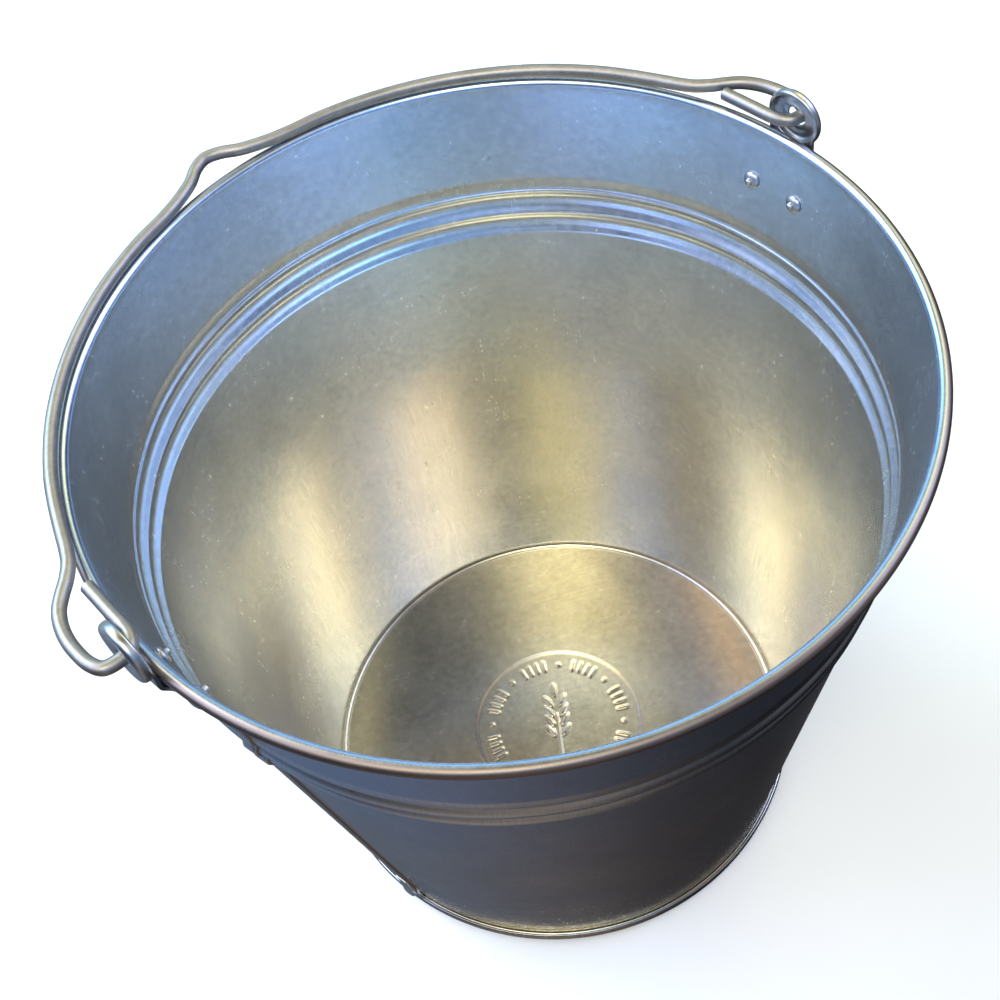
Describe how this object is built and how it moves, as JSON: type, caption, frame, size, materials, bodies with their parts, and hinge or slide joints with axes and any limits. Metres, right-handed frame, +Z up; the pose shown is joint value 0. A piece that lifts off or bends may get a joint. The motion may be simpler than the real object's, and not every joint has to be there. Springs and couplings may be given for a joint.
{
  "type": "feed bucket",
  "caption": "Open conical sheet-metal feed bucket with a rolled rim, swaged beads, a foot hoop, riveted disc ears and a swinging wire bail.",
  "frame": {"origin": "on the bucket's axis, in the plane that the foot hoop stands on, 2.2 mm below the inside floor", "axes": "+Z up out of the mouth; +X through the right ear, along the hinge line; +Y towards the side that the bail is folded down to"},
  "size_m": [0.3322, 0.316, 0.2736],
  "materials": {
    "body_sheet": "smooth bright galvanised sheet, fine mottle",
    "hidden_wire": "plain drawn wire inside the rolled rim",
    "bottom_sheet": "galvanised sheet with fine rolling grain",
    "hoop_strip": "galvanised strip, lightly scuffed on its foot",
    "ear_pressing": "galvanised pressing",
    "rivet_steel": "bright zinc-plated rivet",
    "bail_wire": "satin galvanised wire"
  },
  "bodies": {
    "bucket": {"body_shell": "body_sheet", "rim_wire": "hidden_wire", "bottom_plate": "bottom_sheet", "foot_hoop": "hoop_strip", "ear_right": "ear_pressing", "ear_left": "ear_pressing", "rivet_right_back": "rivet_steel", "rivet_right_front": "rivet_steel", "rivet_left_back": "rivet_steel", "rivet_left_front": "rivet_steel"},
    "bail": {"bail": "bail_wire"}
  },
  "joints": [
    {"name": "bail_swing", "type": "hinge", "parent": "bucket", "child": "bail", "pos_m": [0, -0.0015, 0.262], "axis": [1, 0, 0], "range_deg": [0, 182]}
  ]
}
